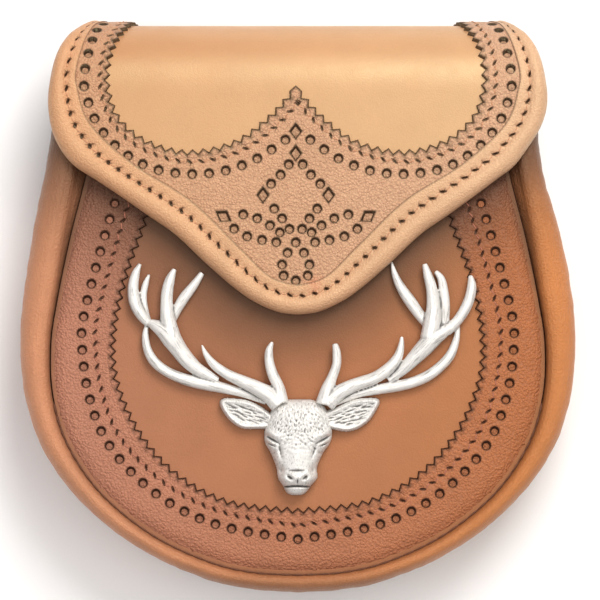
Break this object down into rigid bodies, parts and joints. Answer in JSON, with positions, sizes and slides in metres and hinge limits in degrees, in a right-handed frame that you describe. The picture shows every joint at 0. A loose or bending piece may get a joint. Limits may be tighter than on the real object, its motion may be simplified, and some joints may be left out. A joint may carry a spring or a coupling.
{
  "type": "day sporran pouch with stag's head badge",
  "caption": "Rounded leather sporran pouch with a pinked and punched wrap-over flap, a soft side wall and a cast metal stag's head badge on its front.",
  "frame": {"origin": "bottom centre of the bounding box, on the surface that the pouch lies on with its back down", "axes": "+X to the right of the front, +Y towards the top of the pouch, +Z out of the front"},
  "size_m": [0.1824, 0.1888, 0.0477],
  "materials": {
    "plain_leather": "smooth, low sheen, brown tan",
    "soft_leather": "soft tan with fine creases across the roll",
    "grained_leather": "fine pebble grain, semi matt tan",
    "smooth_leather": "smooth, satin light tan",
    "binding_leather": "rolled edge strip, satin light tan",
    "pewter": "polished, with dark patina in the recesses",
    "brass": "satin"
  },
  "bodies": {
    "root": {"back_panel": "plain_leather", "gusset": "soft_leather", "front_panel": "plain_leather", "front_border": "grained_leather", "flap": "smooth_leather", "flap_border": "grained_leather", "flap_binding": "binding_leather", "stag_badge": "pewter", "press_stud": "brass", "belt_loop_left": "plain_leather", "belt_loop_right": "plain_leather"}
  },
  "joints": []
}
